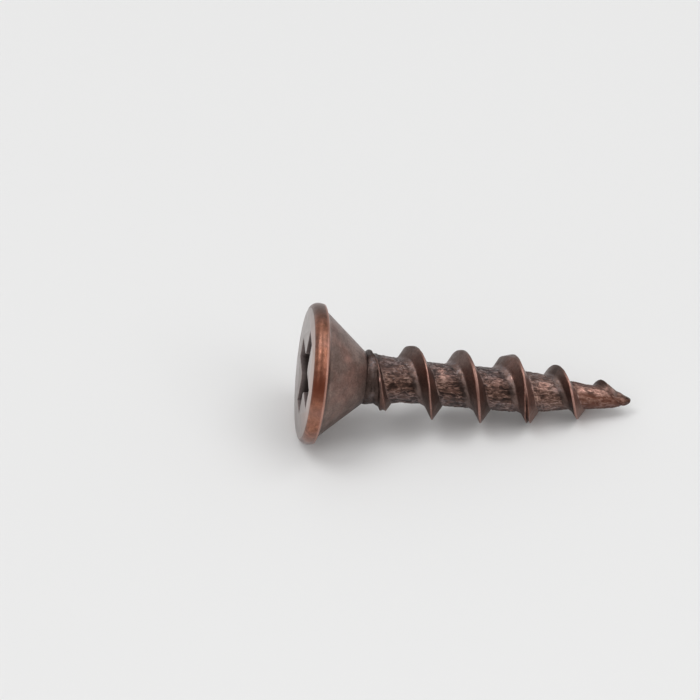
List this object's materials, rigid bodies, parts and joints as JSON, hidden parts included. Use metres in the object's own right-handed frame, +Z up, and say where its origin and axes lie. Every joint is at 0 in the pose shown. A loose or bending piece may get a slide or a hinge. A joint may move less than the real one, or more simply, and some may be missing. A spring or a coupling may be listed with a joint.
{
  "type": "flat head screw",
  "caption": "Short steel wood screw with a flat countersunk head, cross recess, coarse tapered thread and antique copper finish, lying at rest.",
  "frame": {"origin": "centre of the bounding box on the ground the screw lies on", "axes": "+Z up, head at -X, point at +X. The screw's axis lies in the XZ plane and slopes down 9.82 degrees towards the point, because the rim is larger than the thread."},
  "size_m": [0.0194, 0.008, 0.008],
  "materials": {
    "antique_copper": "dark oxidised copper plating, worn bright on rim and crests"
  },
  "bodies": {
    "root": {"flat_head_screw": "antique_copper"}
  },
  "joints": []
}
